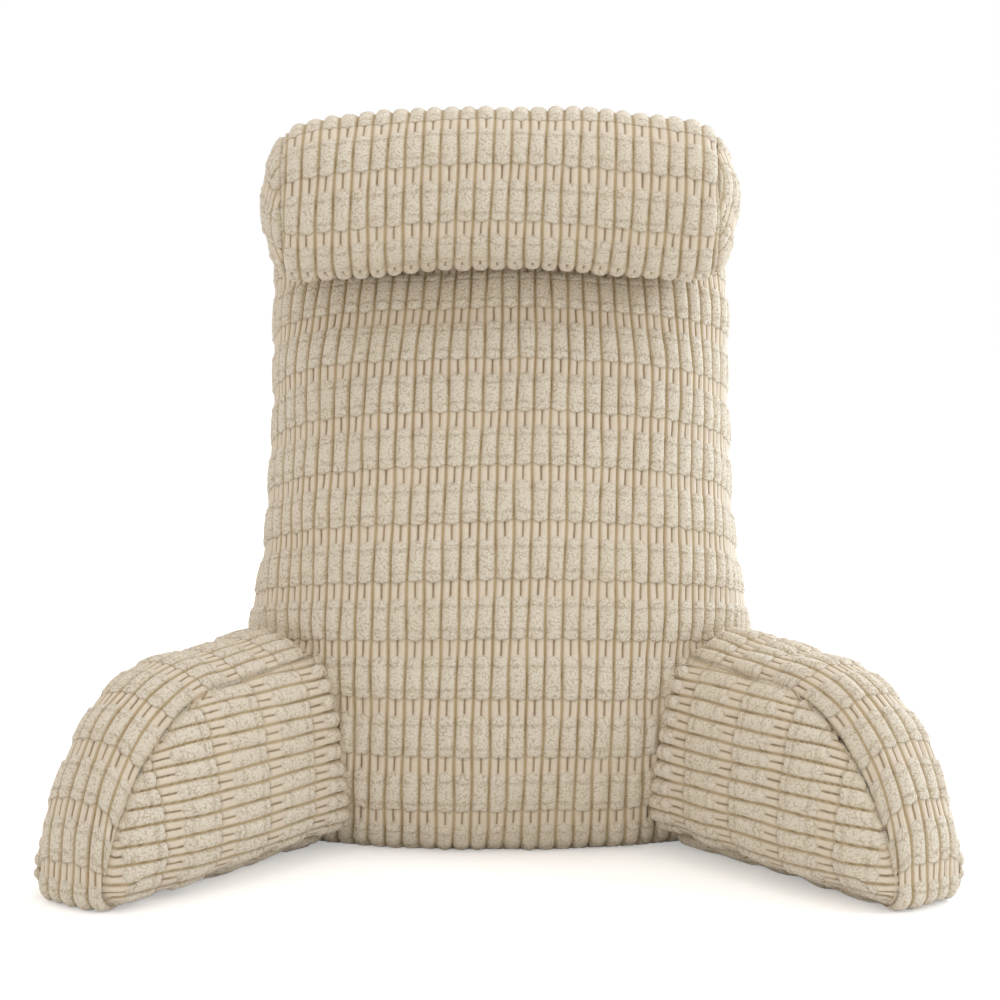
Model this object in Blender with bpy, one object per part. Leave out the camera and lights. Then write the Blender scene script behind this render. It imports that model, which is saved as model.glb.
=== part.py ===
"""Reading pillow with arms: a filled backrest, two splayed filled arms and a neck roll.

Units are metres, +Z is up and the arms point towards -Y.  The origin is at the middle of the
footprint, on the surface that the pillow stands on.
"""

import math

import bmesh
import bpy
from mathutils import Vector

# ---------------------------------------------------------------- driving sizes

SEAM_GAP = 0.0003           # clearance between pieces that are sewn or pressed together
CUT_GROWTH = 0.0004         # the backrest is grown by this before it cuts its neighbours
FLOOR_OVERCUT = 0.05        # how far the cutting shape runs below the floor

# Backrest.  One row for each section from the floor to the top.  A section leans: it runs
# from its front point to its rear point, and half_width is its reach to either side.
BACK_COLUMNS = ("front_y", "front_z", "rear_y", "rear_z", "half_width")
BACK_SECTIONS = [
    (0.004, 0.000, 0.226, 0.000, 0.220),
    (-0.009, 0.010, 0.238, 0.010, 0.231),
    (-0.021, 0.030, 0.248, 0.029, 0.240),
    (-0.033, 0.066, 0.255, 0.062, 0.246),
    (-0.040, 0.108, 0.260, 0.098, 0.249),
    (-0.041, 0.152, 0.263, 0.126, 0.248),
    (-0.036, 0.200, 0.266, 0.152, 0.242),
    (-0.027, 0.250, 0.268, 0.180, 0.235),
    (-0.013, 0.300, 0.270, 0.212, 0.229),
    (0.005, 0.345, 0.272, 0.244, 0.225),
    (0.027, 0.390, 0.275, 0.286, 0.222),
    (0.053, 0.435, 0.279, 0.336, 0.221),
    (0.083, 0.480, 0.283, 0.396, 0.221),
    (0.114, 0.525, 0.286, 0.458, 0.222),
    (0.141, 0.565, 0.287, 0.508, 0.220),
    (0.159, 0.600, 0.284, 0.552, 0.212),
    (0.173, 0.625, 0.277, 0.588, 0.198),
    (0.189, 0.640, 0.264, 0.614, 0.178),
    (0.207, 0.645, 0.247, 0.630, 0.148),
]
BACK_ROUNDNESS = 2.4        # exponent of the superellipse that each section follows
BACK_AROUND = 44            # points around a section
SKIRT_SECTION = 4           # the cutting shape keeps this section's outline down to the floor

# Arms.  An arm is built in its own axes: along runs from the toe back towards the backrest,
# across runs from the inner side out, and height is world Z.
ARM_SPLAY = math.radians(38.0)      # away from straight ahead
ARM_TOE = (0.337, -0.217)           # x, y of the inner seam's foot
ARM_LENGTH = 0.400                  # toe to the end buried in the backrest
ARM_TOE_WIDTH = 0.084               # seam to seam at the toe
ARM_REAR_WIDTH = 0.124              # seam to seam at the buried end
ARM_SHOULDER = 0.150                # how far back the toe's round top reaches
ARM_SEAM_HEIGHT = 0.179             # of the side seams, behind the round toe
ARM_SEAM_RISE = 0.008               # how much the seam still climbs to the buried end
ARM_ROUNDNESS = 2.10                # exponent of the toe's superellipse
ARM_TOE_CROWN = 0.5                 # the toe swells forward by this share of the top's crown
ARM_EDGE_LIFT = (0.004, 0.042)      # the seams' height off the floor: at the toe, and per metre
ARM_FOOT_ROUND = 0.016              # radius of the toe where it meets the floor

# The top band of an arm, from seam to seam: crown is how far it stands above its seams, and
# lift is the share of the seams' lift off the floor that its sole has there.
BAND_COLUMNS = ("share_of_width", "crown", "lift")
BAND_SECTIONS = [
    (0.00, 0.0000, 1.00),
    (0.07, 0.0070, 0.42),
    (0.18, 0.0130, 0.00),
    (0.33, 0.0180, 0.00),
    (0.50, 0.0200, 0.00),
    (0.67, 0.0180, 0.00),
    (0.82, 0.0130, 0.00),
    (0.93, 0.0070, 0.42),
    (1.00, 0.0000, 1.00),
]

# The crowned sides of an arm: inset is the distance in from the seam, bulge is the reach past
# the seam's plane.
SIDE_COLUMNS = ("inset", "bulge")
SIDE_SECTIONS = [
    (0.005, 0.0105),
    (0.014, 0.0175),
    (0.030, 0.0240),
    (0.052, 0.0285),
    (0.080, 0.0305),
]
SIDE_FOOT_RISE = 0.22       # how much of the inset also lifts the side off the floor
PANEL_DEPTH = 0.004         # thickness of a side panel or a roll's end disc at its seam

TOP_POINTS = 7              # points along an arm's top, behind the round toe
TOE_POINTS = 14             # points around the round toe
FOOT_POINTS = 3             # points around the foot of the toe
SOLE_POINTS = 6             # points along the sole

# Neck roll.  One row for each section from the middle to the seam and over the domed end.
ROLL_COLUMNS = ("offset", "radius")
ROLL_SECTIONS = [
    (0.000, 0.0745),
    (0.040, 0.0748),
    (0.080, 0.0755),
    (0.120, 0.0762),
    (0.150, 0.0760),
    (0.174, 0.0748),
    (0.190, 0.0722),
    (0.199, 0.0684),
    (0.205, 0.0634),
    (0.212, 0.0530),
    (0.218, 0.0390),
    (0.222, 0.0210),
]
ROLL_TIP = 0.2235           # middle to the top of the domed end
ROLL_SEAM = 0.203           # middle to the end disc's seam
ROLL_CENTRE = (0.096, 0.611)        # y, z of the axis at the middle
ROLL_SAG = 0.016            # how much lower the axis is at the seams
ROLL_AROUND = 32

CREAM = (0.74, 0.68, 0.58, 1.0)


# ---------------------------------------------------------------- small helpers

def remove_all_objects():
    for item in list(bpy.data.objects):
        bpy.data.objects.remove(item, do_unlink=True)


def new_collection(name):
    collection = bpy.data.collections.new(name)
    bpy.context.scene.collection.children.link(collection)
    return collection


def plush_material():
    material = bpy.data.materials.new("cream_plush")
    material.use_nodes = True
    shader = material.node_tree.nodes["Principled BSDF"]
    shader.inputs["Base Color"].default_value = CREAM
    shader.inputs["Roughness"].default_value = 0.95
    shader.inputs["Metallic"].default_value = 0.0
    material.diffuse_color = CREAM
    return material


def signed_power(value, exponent):
    return math.copysign(abs(value) ** exponent, value)


def loft(rings, closing_tips=None):
    """A closed mesh through rings of equal length; the ends are tips or flat caps."""
    form = bmesh.new()
    rows = [[form.verts.new(point) for point in ring] for ring in rings]
    count = len(rows[0])
    for lower, upper in zip(rows, rows[1:]):
        for here in range(count):
            after = (here + 1) % count
            form.faces.new((lower[here], lower[after], upper[after], upper[here]))
    if closing_tips:
        for row, tip in ((rows[0], closing_tips[0]), (rows[-1], closing_tips[1])):
            apex = form.verts.new(tip)
            for here in range(count):
                form.faces.new((row[here], row[(here + 1) % count], apex))
    else:
        form.faces.new(rows[0])
        form.faces.new(rows[-1])
    bmesh.ops.recalc_face_normals(form, faces=form.faces)
    return form


def keep_side(form, point, normal):
    """The part of a closed form on the side that the normal points away from, closed again."""
    kept = form.copy()
    everything = kept.verts[:] + kept.edges[:] + kept.faces[:]
    bmesh.ops.bisect_plane(kept, geom=everything, plane_co=point, plane_no=normal,
                           clear_outer=True, dist=1e-6)
    rim = [edge for edge in kept.edges if edge.is_boundary]
    bmesh.ops.edgeloop_fill(kept, edges=rim)
    bmesh.ops.recalc_face_normals(kept, faces=kept.faces)
    return kept


def add_object(name, form, collection, root, material=None):
    mesh = bpy.data.meshes.new(name)
    form.to_mesh(mesh)
    form.free()
    mesh.shade_smooth()
    mesh.set_sharp_from_angle(angle=math.radians(50.0))
    item = bpy.data.objects.new(name, mesh)
    item.parent = root
    collection.objects.link(item)
    if material:
        mesh.materials.append(material)
    return item


def cut_away(item, cutter):
    boolean = item.modifiers.new("meets_backrest", "BOOLEAN")
    boolean.operation = "DIFFERENCE"
    boolean.solver = "EXACT"
    boolean.object = cutter


# ---------------------------------------------------------------- backrest

def back_ring(front, rear, half_width):
    """One leaning section, a superellipse between its front and rear points."""
    ring = []
    for step in range(BACK_AROUND):
        angle = 2.0 * math.pi * step / BACK_AROUND
        side = signed_power(math.sin(angle), 2.0 / BACK_ROUNDNESS)
        depth = 0.5 - 0.5 * signed_power(math.cos(angle), 2.0 / BACK_ROUNDNESS)
        middle = front.lerp(rear, depth)
        ring.append(Vector((half_width * side, middle.y, middle.z)))
    return ring


def back_rings(growth=0.0):
    rings = []
    for row in BACK_SECTIONS:
        section = dict(zip(BACK_COLUMNS, row))
        front = Vector((0.0, section["front_y"] - growth, section["front_z"]))
        rear = Vector((0.0, section["rear_y"] + growth, section["rear_z"]))
        rings.append(back_ring(front, rear, section["half_width"] + growth))
    return rings


def backrest_form():
    return loft(back_rings())


def backrest_cutting_form():
    """The backrest grown by a hair, with its sides running straight down past the floor."""
    rings = back_rings(CUT_GROWTH)[SKIRT_SECTION:]
    skirt = [Vector((point.x, point.y, -FLOOR_OVERCUT)) for point in rings[0]]
    for point in rings[-1]:
        point.z += CUT_GROWTH
    return loft([skirt] + rings)


# ---------------------------------------------------------------- arms

def arm_width(along):
    return ARM_TOE_WIDTH + (ARM_REAR_WIDTH - ARM_TOE_WIDTH) * along / ARM_LENGTH


def edge_lift(along):
    at_toe, per_metre = ARM_EDGE_LIFT
    return at_toe + per_metre * max(along, 0.0)


def arm_outline(crown, lift, rise):
    """The side view of an arm: points (along, height) around a sole, a round toe and a top.

    A negative crown is an inset.  The sole is lift times the edge lift, plus rise, off the floor.
    """
    toe_reach = ARM_TOE_CROWN * crown if crown > 0.0 else crown
    top = ARM_SEAM_HEIGHT + crown
    sole_front = ARM_FOOT_ROUND - toe_reach
    base = lift * edge_lift(0.0) + rise + ARM_FOOT_ROUND
    points = []
    for step in range(SOLE_POINTS):
        along = ARM_LENGTH + (sole_front - ARM_LENGTH) * step / SOLE_POINTS
        points.append((along, lift * edge_lift(along) + rise))
    for step in range(FOOT_POINTS):
        angle = 0.5 * math.pi * step / FOOT_POINTS
        points.append((sole_front - ARM_FOOT_ROUND * math.sin(angle),
                       base - ARM_FOOT_ROUND * math.cos(angle)))
    for step in range(TOE_POINTS):
        angle = 0.5 * math.pi * step / TOE_POINTS
        back = signed_power(math.cos(angle), 2.0 / ARM_ROUNDNESS)
        climb = signed_power(math.sin(angle), 2.0 / ARM_ROUNDNESS)
        along = ARM_SHOULDER - (ARM_SHOULDER + toe_reach) * back
        points.append((along, base + (top - base) * climb))
    for step in range(TOP_POINTS):
        share = step / (TOP_POINTS - 1)
        along = ARM_SHOULDER + (ARM_LENGTH - ARM_SHOULDER) * share
        points.append((along, top + ARM_SEAM_RISE * math.sin(0.5 * math.pi * share)))
    return points


def arm_point(along, across, height, side):
    """An arm's own axes to the pillow's; side is +1 on the right and -1 on the left."""
    x = ARM_TOE[0] - along * math.sin(ARM_SPLAY) + across * math.cos(ARM_SPLAY)
    y = ARM_TOE[1] + along * math.cos(ARM_SPLAY) + across * math.sin(ARM_SPLAY)
    return Vector((side * x, y, height))


def side_rings(side, outer):
    rings = []
    for row in SIDE_SECTIONS:
        section = dict(zip(SIDE_COLUMNS, row))
        outline = arm_outline(-section["inset"], 1.0, SIDE_FOOT_RISE * section["inset"])
        ring = []
        for along, height in outline:
            across = -section["bulge"]
            if outer:
                across = arm_width(along) + section["bulge"]
            ring.append(arm_point(along, across, height, side))
        rings.append(ring)
    return rings


def arm_form(side):
    """The whole filled arm: inner side, top band and outer side in one closed form."""
    band = []
    for row in BAND_SECTIONS:
        section = dict(zip(BAND_COLUMNS, row))
        outline = arm_outline(section["crown"], section["lift"], 0.0)
        band.append([arm_point(along, section["share_of_width"] * arm_width(along), height, side)
                     for along, height in outline])
    inner = list(reversed(side_rings(side, outer=False)))
    outer = side_rings(side, outer=True)
    return loft(inner + band + outer)


def seam_plane(side, outer, shift):
    """A point and an outward normal of a side seam's plane, moved in by shift."""
    if outer:
        toe = arm_point(0.0, ARM_TOE_WIDTH - shift, 0.0, side)
        rear = arm_point(ARM_LENGTH, ARM_REAR_WIDTH - shift, 0.0, side)
        outward = arm_point(0.0, 1.0, 0.0, side) - arm_point(0.0, 0.0, 0.0, side)
    else:
        toe = arm_point(0.0, shift, 0.0, side)
        rear = arm_point(ARM_LENGTH, shift, 0.0, side)
        outward = arm_point(0.0, 0.0, 0.0, side) - arm_point(0.0, 1.0, 0.0, side)
    normal = (rear - toe).cross(Vector((0.0, 0.0, 1.0))).normalized()
    if normal.dot(outward) < 0.0:
        normal.negate()
    return toe, normal


def build_arm(name, side, collection, root, cutter, material):
    whole = arm_form(side)
    inner_point, inner_out = seam_plane(side, False, PANEL_DEPTH + SEAM_GAP)
    outer_point, outer_out = seam_plane(side, True, PANEL_DEPTH + SEAM_GAP)
    core = keep_side(whole, inner_point, inner_out)
    trimmed = keep_side(core, outer_point, outer_out)
    core.free()
    pieces = [(name, trimmed)]
    for label, outer in (("inner_panel", False), ("outer_panel", True)):
        point, outward = seam_plane(side, outer, PANEL_DEPTH)
        pieces.append((f"{name}_{label}", keep_side(whole, point, -outward)))
    whole.free()
    for piece_name, form in pieces:
        cut_away(add_object(piece_name, form, collection, root, material), cutter)


# ---------------------------------------------------------------- neck roll

def roll_centre(offset):
    sag = ROLL_SAG * (offset / ROLL_SEAM) ** 2
    return Vector((offset, ROLL_CENTRE[0], ROLL_CENTRE[1] - sag))


def roll_ring(offset, radius):
    centre = roll_centre(offset)
    ring = []
    for step in range(ROLL_AROUND):
        angle = 2.0 * math.pi * step / ROLL_AROUND
        ring.append(centre + Vector((0.0, radius * math.sin(angle), radius * math.cos(angle))))
    return ring


def roll_form():
    right = [dict(zip(ROLL_COLUMNS, row)) for row in ROLL_SECTIONS]
    rings = [roll_ring(-section["offset"], section["radius"]) for section in reversed(right[1:])]
    rings += [roll_ring(section["offset"], section["radius"]) for section in right]
    return loft(rings, closing_tips=(roll_centre(-ROLL_TIP), roll_centre(ROLL_TIP)))


def build_neck_roll(collection, root, cutter, material):
    whole = roll_form()
    core = whole.copy()
    for side in (-1.0, 1.0):
        outward = Vector((side, 0.0, 0.0))
        shorter = keep_side(core, outward * (ROLL_SEAM - PANEL_DEPTH - SEAM_GAP), outward)
        core.free()
        core = shorter
    cut_away(add_object("neck_roll", core, collection, root, material), cutter)
    for side, label in ((-1.0, "left"), (1.0, "right")):
        outward = Vector((side, 0.0, 0.0))
        disc = keep_side(whole, outward * (ROLL_SEAM - PANEL_DEPTH), -outward)
        cut_away(add_object(f"neck_roll_end_{label}", disc, collection, root, material), cutter)
    whole.free()


# ---------------------------------------------------------------- the whole pillow

def centre_on_footprint(root, collection):
    """Move the root so that the origin is under the middle of the finished pieces."""
    bpy.context.view_layer.update()
    depsgraph = bpy.context.evaluated_depsgraph_get()
    reach = []
    for item in collection.objects:
        if item.type == "MESH":
            finished = item.evaluated_get(depsgraph)
            reach += [(item.matrix_world @ Vector(corner)).y for corner in finished.bound_box]
    root.location.y = -0.5 * (min(reach) + max(reach))


def main():
    remove_all_objects()
    parts = new_collection("reading_pillow")
    cutters = new_collection("cutters")
    root = bpy.data.objects.new("reading_pillow_root", None)
    parts.objects.link(root)
    plush = plush_material()

    add_object("backrest", backrest_form(), parts, root, plush)
    cutter = add_object("backrest_cutter", backrest_cutting_form(), cutters, root)
    cutter.hide_render = True
    cutter.display_type = "WIRE"

    build_arm("arm_left", -1.0, parts, root, cutter, plush)
    build_arm("arm_right", 1.0, parts, root, cutter, plush)
    build_neck_roll(parts, root, cutter, plush)
    centre_on_footprint(root, parts)


main()
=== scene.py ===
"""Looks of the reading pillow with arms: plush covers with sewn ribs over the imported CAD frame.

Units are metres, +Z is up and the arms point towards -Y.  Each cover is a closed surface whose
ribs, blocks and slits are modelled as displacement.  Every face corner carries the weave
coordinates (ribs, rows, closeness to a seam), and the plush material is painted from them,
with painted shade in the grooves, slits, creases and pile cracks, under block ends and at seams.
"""

import functools
import math

import bmesh
import bpy
import numpy as np
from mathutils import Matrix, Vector
from mathutils.bvhtree import BVHTree
from mathutils.kdtree import KDTree


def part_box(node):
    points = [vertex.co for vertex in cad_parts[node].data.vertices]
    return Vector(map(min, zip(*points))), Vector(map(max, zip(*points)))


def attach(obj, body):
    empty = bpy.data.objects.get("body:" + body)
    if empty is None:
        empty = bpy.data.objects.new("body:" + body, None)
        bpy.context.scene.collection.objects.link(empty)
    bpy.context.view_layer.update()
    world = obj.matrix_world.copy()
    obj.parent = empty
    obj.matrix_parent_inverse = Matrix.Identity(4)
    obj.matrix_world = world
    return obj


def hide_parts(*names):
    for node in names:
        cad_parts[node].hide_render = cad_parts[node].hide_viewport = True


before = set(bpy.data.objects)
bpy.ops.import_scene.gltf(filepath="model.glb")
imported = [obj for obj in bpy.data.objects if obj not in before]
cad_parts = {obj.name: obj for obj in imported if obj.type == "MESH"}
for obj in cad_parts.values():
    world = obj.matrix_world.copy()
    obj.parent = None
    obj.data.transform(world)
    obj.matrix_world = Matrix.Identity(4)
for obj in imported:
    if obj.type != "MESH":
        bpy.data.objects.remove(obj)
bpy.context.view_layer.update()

# ---- sizes shared with the CAD part

BACK_SECTIONS = [       # front y, front z, rear y, rear z, half width
    (0.004, 0.000, 0.226, 0.000, 0.220),
    (-0.009, 0.010, 0.238, 0.010, 0.231),
    (-0.021, 0.030, 0.248, 0.029, 0.240),
    (-0.033, 0.066, 0.255, 0.062, 0.246),
    (-0.040, 0.108, 0.260, 0.098, 0.249),
    (-0.041, 0.152, 0.263, 0.126, 0.248),
    (-0.036, 0.200, 0.266, 0.152, 0.242),
    (-0.027, 0.250, 0.268, 0.180, 0.235),
    (-0.013, 0.300, 0.270, 0.212, 0.229),
    (0.005, 0.345, 0.272, 0.244, 0.225),
    (0.027, 0.390, 0.275, 0.286, 0.222),
    (0.053, 0.435, 0.279, 0.336, 0.221),
    (0.083, 0.480, 0.283, 0.396, 0.221),
    (0.114, 0.525, 0.286, 0.458, 0.222),
    (0.141, 0.565, 0.287, 0.508, 0.220),
    (0.159, 0.600, 0.284, 0.552, 0.212),
    (0.173, 0.625, 0.277, 0.588, 0.198),
    (0.189, 0.640, 0.264, 0.614, 0.178),
    (0.207, 0.645, 0.247, 0.630, 0.148),
]
BACK_ROUNDNESS = 2.4
BACK_REARMOST = max(section[2] for section in BACK_SECTIONS)

ARM_SPLAY = math.radians(38.0)
ARM_TOE = (0.337, -0.217)
ARM_LENGTH = 0.400
ARM_TOE_WIDTH = 0.084
ARM_REAR_WIDTH = 0.124
ARM_SHOULDER = 0.150
ARM_SEAM_HEIGHT = 0.179
ARM_SEAM_RISE = 0.008
ARM_ROUNDNESS = 2.10
ARM_SEAM_ROUNDNESS = 1.60
ARM_FULL_CROWN = 0.012  # from this crown on, the toe has the full roundness
ARM_TOE_CROWN = 0.5
ARM_EDGE_LIFT = (0.004, 0.042)
ARM_FOOT_ROUND = 0.016
BAND_SECTIONS = [       # share of width, crown, lift
    (0.00, 0.0000, 1.00),
    (0.07, 0.0070, 0.42),
    (0.18, 0.0130, 0.00),
    (0.33, 0.0180, 0.00),
    (0.50, 0.0200, 0.00),
]
SIDE_SECTIONS = [       # inset, bulge
    (0.000, 0.0000),
    (0.005, 0.0070),
    (0.014, 0.0150),
    (0.030, 0.0228),
    (0.052, 0.0281),
    (0.080, 0.0305),
    (0.110, 0.0312),
]

ROLL_SECTIONS = [       # offset, radius
    (0.000, 0.0745),
    (0.040, 0.0748),
    (0.080, 0.0755),
    (0.120, 0.0762),
    (0.150, 0.0760),
    (0.174, 0.0748),
    (0.190, 0.0722),
    (0.199, 0.0684),
    (0.203, 0.0651),
]
ROLL_END_SECTIONS = [   # radius, offset
    (0.0000, 0.2235),
    (0.0210, 0.2220),
    (0.0390, 0.2180),
    (0.0530, 0.2120),
    (0.0634, 0.2050),
    (0.0651, 0.2030),
]
ROLL_SEAM = 0.203
ROLL_CENTRE = (0.096, 0.611)
ROLL_SAG = 0.016

# ---- the cloth

RIB = 0.016             # from groove to groove
ROW = 0.05445           # length of one block with the split stretch below it
BLOCK = 0.72            # the share of a row that is one plump block
PILE = 0.0066           # how far a block's crest stands above its grooves
CREST = 0.0012          # how far the crests stand above the CAD surface
DOME_POWERS = (2.3, 2.1)    # a block's rounding from groove to groove
END_ROUND = 0.0055      # length over which a block's ends round off
END_TAPER = 0.36        # how much narrower a block is at its very ends
PLUMPNESS = (0.90, 0.16)    # a block's least height, and what chance adds to it
CREASES = (0.24, 0.76)  # where two creases cross a block, as shares of its length
CREASE_DEPTH = 0.11
CREASE_WIDTH = 0.06
SPLIT_HEIGHT = 0.60     # height of the split stretch, as a share of the pile
SPLIT_POWER = 2.1
GATHER = 0.0036         # how much deeper the grooves are where cloth is gathered in
LUMP = 0.0016           # unevenness of the filling
ROLL_LUMP = 0.0012
DISC_LUMP = 0.0008
LUMP_SIZE = 0.085
WANDER_ACROSS = [       # size in ribs, then waves per row, per rib and per seed
    (0.022, 4.1, 2.3, 1.0),
    (0.035, 1.7, 0.61, 1.3),
]
WANDER_DOWN = [         # the same, with the size in rows
    (0.011, 2.2, 2.6, 1.0),
    (0.012, 0.0, 0.43, 0.7),
    (0.016, 0.9, 0.19, 2.0),
]

# where the pattern of each cover starts, in ribs and rows
BAND_RIB_PHASE = 0.625
BAND_ROW_PHASE = 0.63
PANEL_RIB_PHASE = 0.35
PANEL_ROW_PHASE = 0.90
OUTER_ROW_PHASE = 0.6
PANEL_STRETCH = 1.15    # the panels' filling stretches their rows lengthwise
BACK_SLIT_UP = 0.54365  # height along the front at which one row's slits start
BACK_LEAN_FROM = BACK_SLIT_UP - 0.09  # height at which a rib lies in the middle
BACK_TILT = 0.0277      # how far the ribs lean to the left on their way down
REAR_RIB_PHASE = 0.5
REAR_ROW_PHASE = 0.3
ROLL_RIB_PHASE = 0.47
ROLL_ROW_PHASE = 0.455
ROLL_LEAN = -0.04
DISC_RIB_PHASE = 0.2
DISC_ROW_PHASE = 0.35
DISC_TURN = math.radians(20.0)

# ---- seams and junctions

SEAM_ROUND = 0.0040     # length over which a rib rounds off at a seam
SEAM_PILE = 0.55        # share of the pile that is left right at a seam
SEAM_TURN = 0.008       # within this reach both covers turn to a seam's common normal
SEAM_SHADE_REACH = 0.0035     # reach of the painted shade along a seam
# reach of the painted shade on the backrest: side seams, the arms' junctions and its top edge
BACK_SEAM_SHADE_REACH = 0.004
SEAM_DIP = (0.0008, 0.007)  # depth and reach of the dent along a seam, as for the next four
REAR_SEAM_DIP = (0.0015, 0.008)
BACK_JUNCTION_DIP = (0.003, 0.011)
BACK_TOP_DIP = (0.002, 0.008)
CLOSING_DIP = (0.0015, 0.006)
SOLE_PAINTED_SHADE = (0.8, 0.02)  # strength and reach of the painted shade near the floor at the back's sole
SOLE_SHADE = 0.6        # the same painted shade's strength on the flat underside
REAR_SEAM_DEPTH = 0.80  # the back cover's side seams, as a share of the depth
JUNCTION_DEPTH = 0.018  # how far an arm's closed end reaches into the backrest
JUNCTION_DIP = 0.006
JUNCTION_ROUND = 0.014  # length over which an arm draws in at the backrest
JUNCTION_GATHER = 0.022  # reach of the gathering on an arm
BACK_GATHER = 0.026     # reach of the gathering on the backrest
JUNCTION_ALONG = 0.26   # about how far along an arm its lines meet the backrest
JUNCTION_ZONE = (0.09, 0.16, 0.27)  # least x, most y and most z where arms meet the back
JUNCTION_BREAK = 0.05   # junction points further apart belong to two lines
BAND_FULLNESS = 1.25    # length of the crowned cloth against the band's straight width
BAND_LOWEST = 0.0005    # the arms' covers stay this far above the floor
PANEL_LOWEST = 0.0008
ROLL_GAP = 0.0006       # the roll stays this far off the backrest
ROLL_CLEAR_OF_FRONT = 0.10  # nearer to the back's front than this, the roll never touches it
ROLL_START = math.radians(215.0)  # where the tube is sewn shut, behind and below
ROLL_GIRTH_RADIUS = 0.0755  # the tube's usual radius, for lengths around it

# ---- meshing

SOLE, FOOT, TOE, TOP = range(4)  # the parts of an arm's outline
CROWN, LIFT = 1, 2      # columns of the band's sections
ROW_STEP = ROW / 14.0   # mesh rows along the ribs
RIB_STEP = RIB / 8.0    # mesh columns across the ribs
SOLE_STEP = 0.010
TYPICAL_OUTLINE = (0.010, 0.5, 0.33, 0.33)  # crown, lift and the ends on top and sole
MEAN_CROWN = 0.018
MEETING_LEAST = 0.12    # no arm meets the backrest nearer to its toe
MEETING_HALVINGS = 14
SOLE_MEETING = 0.012    # height at which the sole meets the backrest
BAND_CORE = 20          # columns on each side of a band's middle that follow its ribs
BAND_EDGE = 8           # columns from there to each seam
PANEL_GRID = (150, 84)
PANEL_FIRST_HEIGHT = 0.010  # the lowest line that is tested against the backrest
TOE_CORNER = 92         # the outline's point where the toe turns into the top edge
SOLE_STEEPER = 1.2      # how much faster a panel rises from the sole behind the toe
SOLE_STEEPER_FROM = (0.03, 0.12)
BACK_FULL_HALF = 0.56   # half girth from which the ribs lie at their full width
BACK_FINE = 16 * 8      # columns on each side at RIB_STEP
BACK_MEDIUM = 3 * 5     # columns beyond them at the medium step
BACK_MEDIUM_STEP = RIB / 5.0
BACK_EDGE = 39          # columns from there to a side seam
BACK_REAR = 103         # columns from side seam to side seam behind
BACK_TOP_RINGS = ((0.85, 0.0015), (0.6, 0.003), (0.3, 0.004))  # share of the edge, rise
ROLL_ROWS = 140
DISC_HOLE = 0.002       # radius of a disc's innermost ring
DISC_RINGS = 28
DISC_COLUMNS = 150


def hermite(x, xs, ys):
    """Monotone smooth interpolation of a table."""
    step = np.diff(xs)
    slope = np.diff(ys) / step
    tangent = np.zeros_like(ys)
    tangent[0] = slope[0]
    tangent[-1] = slope[-1]
    same = slope[:-1] * slope[1:] > 0.0
    weight_a = 2.0 * step[1:] + step[:-1]
    weight_b = step[1:] + 2.0 * step[:-1]
    inner = np.zeros(len(slope) - 1)
    inner[same] = ((weight_a + weight_b)[same]
                   / (weight_a[same] / slope[:-1][same] + weight_b[same] / slope[1:][same]))
    tangent[1:-1] = inner
    place = np.clip(np.searchsorted(xs, x, side="right") - 1, 0, len(xs) - 2)
    h = step[place]
    t = np.clip((x - xs[place]) / h, 0.0, 1.0)
    return ((2 * t ** 3 - 3 * t ** 2 + 1) * ys[place]
            + (t ** 3 - 2 * t ** 2 + t) * h * tangent[place]
            + (-2 * t ** 3 + 3 * t ** 2) * ys[place + 1] + (t ** 3 - t ** 2) * h * tangent[place + 1])


def profile(table, key, column=1):
    """A value of a table of sections at places along its first column."""
    table = np.array(table)
    return hermite(np.clip(key, table[0, 0], table[-1, 0]), table[:, 0], table[:, column])


def smooth_step(low, high, value):
    """0 up to low, 1 from high on, and a smooth slope between."""
    t = np.clip((value - low) / (high - low), 0.0, 1.0)
    return t * t * (3.0 - 2.0 * t)


def signed_power(value, exponent):
    """A power that keeps the value's sign."""
    return np.sign(value) * np.abs(value) ** exponent


def rounded(value):
    """A quarter circle: 0 at 0 and 1 from 1 on."""
    t = 1.0 - np.clip(value, 0.0, 1.0)
    return np.sqrt(np.clip(1.0 - t * t, 0.0, 1.0))


def dent(distance, depth, reach):
    """A smooth dent: depth at distance 0, fading out over the reach."""
    return depth * np.exp(-(distance / reach) ** 2)


def hashed(rib, row, seed):
    """A repeatable number from 0 to 1 for each block."""
    value = np.sin(np.floor(rib) * 127.1 + np.floor(row) * 311.7 + seed * 74.7) * 43758.5453
    return value - np.floor(value)


def pile_height(rib, row, seed):
    """The height of the cloth, 0 in a groove to about 1 on a block's crest."""
    x = np.abs(rib - np.floor(rib) - 0.5) * 2.0
    t = row - np.floor(row)
    end = np.clip(np.minimum(t, BLOCK - t) * ROW / END_ROUND, 0.0, 1.0)
    taper = 1.0 - END_TAPER * (1.0 - end) ** 1.5
    dome = (1.0 - np.clip(x / taper, 0.0, 1.0) ** DOME_POWERS[0]) ** (1.0 / DOME_POWERS[1])
    plump = PLUMPNESS[0] + PLUMPNESS[1] * hashed(rib, row, seed)
    waist = 1.0
    for place in CREASES:
        waist = waist - dent(t / BLOCK - place, CREASE_DEPTH, CREASE_WIDTH)
    half = np.abs(x - 0.5) * 2.0
    split = SPLIT_HEIGHT * (1.0 - half ** SPLIT_POWER) ** (1.0 / SPLIT_POWER)
    return np.maximum(dome * rounded(end) * plump * waist, split)


def wander(waves, rib, row, seed):
    """The sum of a table of waves over the cloth."""
    return sum(size * np.sin(row * per_row + rib * per_rib + seed * per_seed)
               for size, per_row, per_rib, per_seed in waves)


def cloth_wander(rib, row, seed):
    """Ribs and rows that wander a little, so that no two blocks are alike."""
    return (rib + wander(WANDER_ACROSS, rib, row, seed),
            row + wander(WANDER_DOWN, rib, row, seed))


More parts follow.
